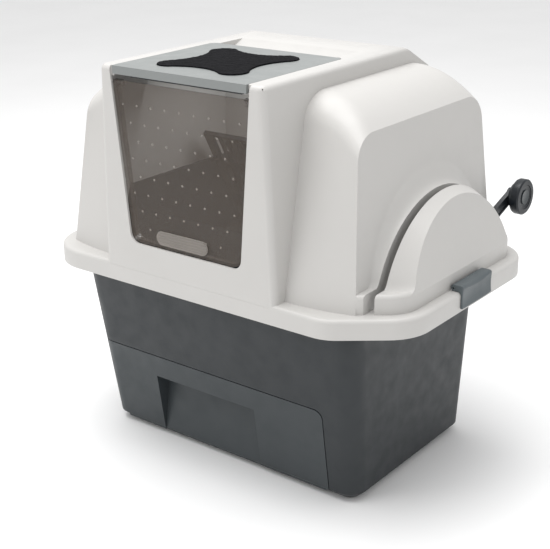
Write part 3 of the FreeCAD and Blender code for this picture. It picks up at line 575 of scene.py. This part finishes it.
@dataclass
class EntryDoor(SubAssembly):
    """Smoked flap with raised dots and a ribbed grip."""

    body: str = "door"
    columns: int = 8
    rows: int = 9
    pitch_x: float = 27.0 * MM
    pitch_z: float = 26.0 * MM
    dot_radius: float = 1.9 * MM
    dot_lift: float = 0.4 * MM
    first_row_drop: float = 34 * MM
    side_margin: float = 14 * MM
    side_taper: float = 0.09
    dot_flatness: float = 0.55
    rim_depth: float = 2.4 * MM
    rim_lift: float = 0.6 * MM
    lip: float = 1.8 * MM
    recess: float = 1.5 * MM
    rounding: float = 0.5 * MM
    rib_margin: float = 3 * MM
    rib_out: float = 1.3 * MM
    rib_in: float = 0.6 * MM
    rib_half: float = 0.8 * MM
    grip_low: tuple[float, float] = (-0.072, 0.3725)
    grip_high: tuple[float, float] = (0.026, 0.3945)
    ribs: int = 4

    def build(self, smoke: bpy.types.Material, painted_highlight_relief: bpy.types.Material) -> None:
        """Makes the plate, its dots and its grip.

        Args:
            smoke: material of the plate.
            painted_highlight_relief: paler material of the raised dots and the grip; its pale tint is a
                painted highlight on them.
        """
        self.dress("entry_door", smoke, "smoked_plastic", degrees=30.0)
        low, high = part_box("entry_door")
        self.face = low[1]
        self.low, self.high = low, high
        # Dots and grip take the paler material, a painted highlight.
        self.hand_over(self.dots(), painted_highlight_relief, "smoked_plastic")
        self.hand_over(self.grip(), painted_highlight_relief, "smoked_plastic")

    def dots(self) -> bpy.types.Object:
        """Models one low dome and copies it over the plate.

        Returns:
            All domes as one piece.
        """
        middle = (self.low[0] + self.high[0]) / 2
        domes = []
        for row in range(self.rows):
            height = self.high[2] - self.first_row_drop - row * self.pitch_z
            shift = 0.5 * self.pitch_x * (row % 2)
            half = (self.high[0] - self.low[0]) / 2
            reach = half - self.side_margin - self.side_taper * (self.high[2] - height)
            for column in range(self.columns + 1):
                across = (column - self.columns / 2) * self.pitch_x + shift
                if abs(across) > reach:
                    continue
                Bench.clear()
                bpy.ops.mesh.primitive_uv_sphere_add(
                    segments=12, ring_count=8, radius=self.dot_radius,
                    location=(middle + across, self.face + self.dot_lift, height),
                    scale=(1, self.dot_flatness, 1))
                dome = Bench.named(f"door_dot_{row}_{column}")
                Bench.settle(dome)
                domes.append(dome)
        piece = Bench.join("door_dots", domes)
        Bench.smooth(piece, 60)
        return piece

    def grip(self) -> bpy.types.Object:
        """Models the pill-shaped rim of the grip and the ribs in it.

        Returns:
            The grip as one piece.
        """
        span = self.grip_high[0] - self.grip_low[0]
        tall = self.grip_high[1] - self.grip_low[1]
        across = (self.grip_low[0] + self.grip_high[0]) / 2
        centre = (across, self.face, (self.grip_low[1] + self.grip_high[1]) / 2)
        Bench.clear()
        bpy.ops.mesh.primitive_cylinder_add(
            vertices=40, radius=tall / 2, depth=self.rim_depth, location=(0, 0, 0),
            rotation=(math.pi / 2, 0, 0))
        rim = Bench.named("door_grip_rim")
        Bench.settle(rim)
        stretch = (span - tall) / 2

        def draw_out(point: Vector) -> Vector:
            """Pulls the round apart into a pill and sets it on the plate."""
            pulled = Vector((point.x + math.copysign(stretch, point.x), point.y - self.rim_lift, point.z))
            return pulled + Vector(centre)

        Bench.reshape(rim, draw_out)
        Bench.pick(rim)
        bpy.ops.object.mode_set(mode="EDIT")
        bpy.ops.mesh.select_all(action="DESELECT")
        bpy.ops.object.mode_set(mode="OBJECT")
        for face in rim.data.polygons:
            face.select = face.normal.y < -0.9
        bpy.ops.object.mode_set(mode="EDIT")
        bpy.ops.mesh.select_mode(type="FACE")
        bpy.ops.mesh.inset(thickness=self.lip)
        bpy.ops.transform.translate(value=(0, self.recess, 0))
        bpy.ops.object.mode_set(mode="OBJECT")
        Bench.finish_with(rim, "BEVEL", width=self.rounding, segments=2, limit_method="ANGLE")
        pieces = [rim]
        for rib in range(self.ribs):
            height = self.grip_low[1] + tall * (rib + 1) / (self.ribs + 1)
            chord = math.sqrt(max((tall / 2) ** 2 - (height - centre[2]) ** 2, 0))
            inner = stretch + chord - self.rib_margin
            bar = Bench.block(
                f"door_grip_rib_{rib}",
                (centre[0] - inner, self.face - self.rib_out, height - self.rib_half),
                (centre[0] + inner, self.face + self.rib_in, height + self.rib_half))
            Bench.finish_with(bar, "BEVEL", width=self.rounding, segments=3)
            pieces.append(bar)
        piece = Bench.join("door_grip", pieces)
        Bench.smooth(piece, 45)
        return piece


@dataclass
class FilterLid(SubAssembly):
    """Grey lid with its filter tray and the felt pad."""

    body: str = "lid"
    nap: float = 1.1 * MM
    voxel: float = 1.6 * MM
    clump: float = 0.006

    def build(self, grey: bpy.types.Material, dark: bpy.types.Material, felt: bpy.types.Material) -> None:
        """Dresses the lid and makes the pad."""
        self.dress("top_lid", grey, "lid_plastic", degrees=28.0)
        self.dress("filter_tray", dark, "tray_plastic")
        self.hand_over(self.pad(), felt, "carbon_fibre", ["filter_pad"], "filter")

    def pad(self) -> bpy.types.Object:
        """Remeshes the pad's form and raises an uneven nap on it.

        Returns:
            The pad.
        """
        piece = Bench.skin("filter_pad")
        piece.name = "filter_felt"
        Bench.pick(piece)
        piece.data.remesh_voxel_size = self.voxel
        bpy.ops.object.voxel_remesh()
        texture = bpy.data.textures.new("felt_nap", "CLOUDS")
        texture.noise_scale = self.clump
        texture.noise_depth = 2
        Bench.finish_with(piece, "DISPLACE", texture=texture, strength=self.nap, mid_level=0.55,
                          texture_coords="LOCAL")
        Bench.smooth(piece, 180)
        return piece


@dataclass
class Base(SubAssembly):
    """Slate tub with bearings and foot pads."""

    body: str = "base"

    def build(self, slate: bpy.types.Material, bush: bpy.types.Material, rubber: bpy.types.Material) -> None:
        """Dresses the tub, the bearings and the pads."""
        self.dress("base_tub", slate, "base_plastic", degrees=40.0)
        self.paint("bearing_left", bush)
        self.paint("bearing_right", bush)
        self.dress("foot_pads", rubber, "foot_rubber")


@dataclass
class WasteDrawer(SubAssembly):
    """Slate drawer with its bin and bag frame."""

    body: str = "drawer"

    def build(self, slate: bpy.types.Material, dark: bpy.types.Material) -> None:
        """Dresses the drawer's pieces."""
        self.dress("drawer_front", slate, "base_plastic")
        self.dress("drawer_bin", slate, "base_plastic")
        self.dress("bag_frame", dark, "tray_plastic")


@dataclass
class TurningPan(SubAssembly):
    """Litter pan with end plates and a sieve."""

    body: str = "pan"

    def build(self, pan: bpy.types.Material) -> None:
        """Dresses the pan's pieces."""
        for node in ("litter_pan", "pan_end_left", "pan_end_right"):
            self.dress(node, pan, "pan_plastic")
        self.dress("sieve_grate", pan, "sieve_plastic")


@dataclass
class LeverAndKnob(SubAssembly):
    """Side lever with its round knob."""

    body: str = "pan"
    face_radius: float = 18.6 * MM
    disc_radius: float = 11.5 * MM
    disc_lift: float = 0.4 * MM
    rounding: float = 0.3 * MM
    rings: tuple[tuple[float, float], ...] = ((0.6 * MM, 0.0), (1.6 * MM, 0.0), (0.8 * MM, -1.0 * MM))
    disc_rings: tuple[tuple[float, float], ...] = ((0.8 * MM, 0.0), (1.4 * MM, -0.5 * MM))

    def build(self, ink: bpy.types.Material, cap: bpy.types.Material, steel: bpy.types.Material) -> None:
        """Dresses the lever and makes the knob."""
        self.dress("lever_arm", ink, "lever_plastic")
        self.dress("knob_body", ink, "lever_plastic", body="knob", degrees=40.0)
        low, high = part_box("knob_cap")
        hub = Vector((low[0], (low[1] + high[1]) / 2, (low[2] + high[2]) / 2))
        self.hand_over(self.disc("knob_face", hub, self.face_radius, high[0] - low[0], self.rings), ink,
                       "lever_plastic", body="knob")
        seat = hub + Vector((self.disc_lift, 0, 0))
        self.hand_over(self.disc("knob_disc", seat, self.disc_radius, high[0] - low[0], self.disc_rings), cap,
                       "cap_plastic", ["knob_cap"], "knob")
        self.paint("knob_pin", steel)
        self.paint("lever_screw", steel)

    def disc(self, name: str, foot: Vector, radius: float, depth: float,
             rings: Sequence[tuple[float, float]]) -> bpy.types.Object:
        """Turns a stepped round face by insetting its front.

        Args:
            name: the piece's name.
            foot: middle of its back.
            radius: its radius.
            depth: its thickness.
            rings: how far each step goes in and forward.

        Returns:
            The piece.
        """
        Bench.clear()
        bpy.ops.mesh.primitive_cylinder_add(
            vertices=48, radius=radius, depth=depth, location=foot + Vector((depth / 2, 0, 0)),
            rotation=(0, math.pi / 2, 0))
        piece = Bench.named(name)
        Bench.settle(piece)
        bpy.ops.object.mode_set(mode="EDIT")
        bpy.ops.mesh.select_mode(type="FACE")
        bpy.ops.mesh.select_all(action="DESELECT")
        bpy.ops.object.mode_set(mode="OBJECT")
        for face in piece.data.polygons:
            face.select = face.normal.x > 0.9
        bpy.ops.object.mode_set(mode="EDIT")
        for inward, forward in rings:
            bpy.ops.mesh.inset(thickness=inward)
            bpy.ops.transform.translate(value=(forward, 0, 0))
        bpy.ops.object.mode_set(mode="OBJECT")
        Bench.finish_with(piece, "BEVEL", width=self.rounding, segments=2, limit_method="ANGLE")
        Bench.smooth(piece, 40)
        return piece


@dataclass
class SideLatches(SubAssembly):
    """Two clips over the rim, each with a saddle for the thumb."""

    body: str = "latch_r"
    voxel: float = 0.9 * MM
    hollow: float = 2.0 * MM
    flare: float = 1.4 * MM
    dip: float = 3.2 * MM
    face_depth: float = 1.8 * MM
    edge_fade: float = 0.55
    crown: float = 0.86
    crown_depth: float = 12 * MM
    hollow_pace: float = 1.15
    saddle_pace: float = 0.62

    def build(self, grey: bpy.types.Material) -> None:
        """Makes both clips."""
        for side, body in (("left", "latch_l"), ("right", "latch_r")):
            self.hand_over(self.clip(side), grey, "latch_plastic", [f"latch_{side}"], body)

    def clip(self, side: str) -> bpy.types.Object:
        """Models one clip by hollowing the upper middle of its form.

        Args:
            side: which side of the box it is on.

        Returns:
            The clip.
        """
        piece = Bench.skin(f"latch_{side}")
        low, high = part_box(f"latch_{side}")
        outward = 1.0 if side == "right" else -1.0
        outer = high[0] if side == "right" else -low[0]
        middle, half = (low[1] + high[1]) / 2, (high[1] - low[1]) / 2
        Bench.pick(piece)
        piece.data.remesh_voxel_size = self.voxel
        bpy.ops.object.voxel_remesh()

        def press(point: Vector) -> Vector:
            """Hollows the outer face, flares its foot and dips the top for a thumb."""
            depth = outer - point.x * outward
            rise = (point.z - low[2]) / (high[2] - low[2])
            along = (point.y - middle) / half
            if depth < self.face_depth:
                wave = math.sin(math.pi * min(rise * self.hollow_pace, 1.0))
                shape = self.flare * (1 - rise) ** 3 - self.hollow * wave
                point.x += outward * shape * (1 - self.edge_fade * along ** 4)
            if rise > self.crown and depth < self.crown_depth:
                saddle = max(0.0, math.cos(along * math.pi * self.saddle_pace))
                point.z -= self.dip * saddle * (1 - depth / self.crown_depth)
            return point

        Bench.reshape(piece, press)
        Bench.finish_with(piece, "SMOOTH", factor=0.5, iterations=4)
        Bench.smooth(piece, 60)
        return piece


@dataclass
class Studio:
    """Floor, soft light and camera."""

    camera_place: Vector = field(default_factory=lambda: Vector((1.06265, -1.39932, 0.93763)))
    azimuth: float = 38.28
    elevation: float = 20.88
    roll: float = -0.96
    lens: float = 76.5

    def build(self) -> None:
        """Sets the whole studio up."""
        self.floor()
        self.lamps()
        self.camera()
        view = bpy.context.scene.view_settings
        view.view_transform = "Standard"
        view.exposure = 0.0

    def floor(self) -> None:
        """Adds the floor."""
        Bench.clear()
        bpy.ops.mesh.primitive_plane_add(size=14, location=(0, 0, 0))
        ground = Bench.named("floor")
        ground.data.materials.append(PaleFloor().build())

    def lamp(self, name: str, place: Colour, target: Colour, size: float, power: float) -> None:
        """Adds a square soft light.

        Args:
            name: its name.
            place: where it stands.
            target: what it looks at.
            size: its side in metres.
            power: its power in watts.
        """
        light = bpy.data.lights.new(name, "AREA")
        light.size = size
        light.energy = power
        item = bpy.data.objects.new(name, light)
        bpy.context.scene.collection.objects.link(item)
        aim = Vector(target) - Vector(place)
        item.location = place
        item.rotation_euler = aim.to_track_quat("-Z", "Y").to_euler()

    def lamps(self) -> None:
        """Adds the sky and the lights."""
        world = bpy.data.worlds.new("soft_sky")
        world.use_nodes = True
        sky = world.node_tree.nodes["Background"]
        sky.inputs["Color"].default_value = (1.0, 1.0, 1.0, 1.0)
        sky.inputs["Strength"].default_value = 0.80
        bpy.context.scene.world = world
        self.lamp("top_light", (-0.3, -0.3, 2.6), (0, 0, 0.4), 2.2, 60)
        self.lamp("front_light", (-1.2, -2.4, 1.5), (0, 0, 0.35), 1.6, 5)
        self.lamp("cabin_light", (-0.02, 0.0, 0.585), (-0.02, 0.04, 0.3), 0.16, 0.9)

    def camera(self) -> None:
        """Adds the camera."""
        turn, tilt, roll = (math.radians(value) for value in (self.azimuth, self.elevation, self.roll))
        right = Vector((math.cos(turn), math.sin(turn), 0))
        back = Vector((math.sin(turn) * math.cos(tilt), -math.cos(turn) * math.cos(tilt), math.sin(tilt)))
        up = back.cross(right)
        right, up = right * math.cos(roll) + up * math.sin(roll), up * math.cos(roll) - right * math.sin(roll)
        data = bpy.data.cameras.new("camera")
        data.lens = self.lens
        data.sensor_width = 36
        item = bpy.data.objects.new("camera", data)
        bpy.context.scene.collection.objects.link(item)
        matrix = Matrix((right, up, back)).transposed().to_4x4()
        matrix.translation = self.camera_place
        item.matrix_world = matrix
        bpy.context.scene.camera = item


def main() -> None:
    """Builds every sub-assembly in order and logs what was made."""
    logging.basicConfig(level=logging.INFO, format="%(name)s %(message)s")
    cream = MouldedPlastic("cream_plastic", Tint.CREAM, roughness=0.40, clouding=0.012).build()
    grey = MouldedPlastic("dove_grey_plastic", Tint.DOVE_GREY, roughness=0.38, clouding=0.03).build()
    slate = MouldedPlastic("slate_plastic", Tint.SLATE, roughness=0.50, grain_depth=0.00004).build()
    drawer = MouldedPlastic(
        "drawer_slate_plastic", Tint.DRAWER_SLATE, roughness=0.48, grain_depth=0.00004).build()
    pan = MouldedPlastic("pan_plastic", Tint.PAN_SLATE, roughness=0.35).build()
    latch = MouldedPlastic("latch_plastic", Tint.LATCH_GREY, roughness=0.42).build()
    ink = MouldedPlastic("ink_plastic", Tint.INK, roughness=0.40).build()
    cap = MouldedPlastic("cap_plastic", Tint.CAP_GREY, roughness=0.36).build()
    bush = MouldedPlastic("bush_plastic", Tint.BUSH_WHITE, roughness=0.34).build()
    steel = DrawnSteel().build()
    rubber = FootRubber().build()

    hood = Hood()
    hood.build(cream, steel)
    door = EntryDoor()
    # Dots and grip get a paler tint than the plate, standing in for their highlights: painted highlight.
    painted_highlight_relief = SmokedPlastic("smoked_painted_highlight", tint=(0.33, 0.30, 0.27), opacity=0.62)
    door.build(SmokedPlastic().build(), painted_highlight_relief.build())
    lid = FilterLid()
    lid.build(grey, slate, CarbonFibre().build())
    base = Base()
    base.build(slate, bush, rubber)
    bin_drawer = WasteDrawer()
    bin_drawer.build(drawer, slate)
    turning_pan = TurningPan()
    turning_pan.build(pan)
    lever = LeverAndKnob()
    lever.build(ink, cap, steel)
    latches = SideLatches()
    latches.build(latch)
    for assembly in (hood, door, lid, base, bin_drawer, turning_pan, lever, latches):
        assembly.report()
    Studio().build()


if __name__ == "__main__":
    main()
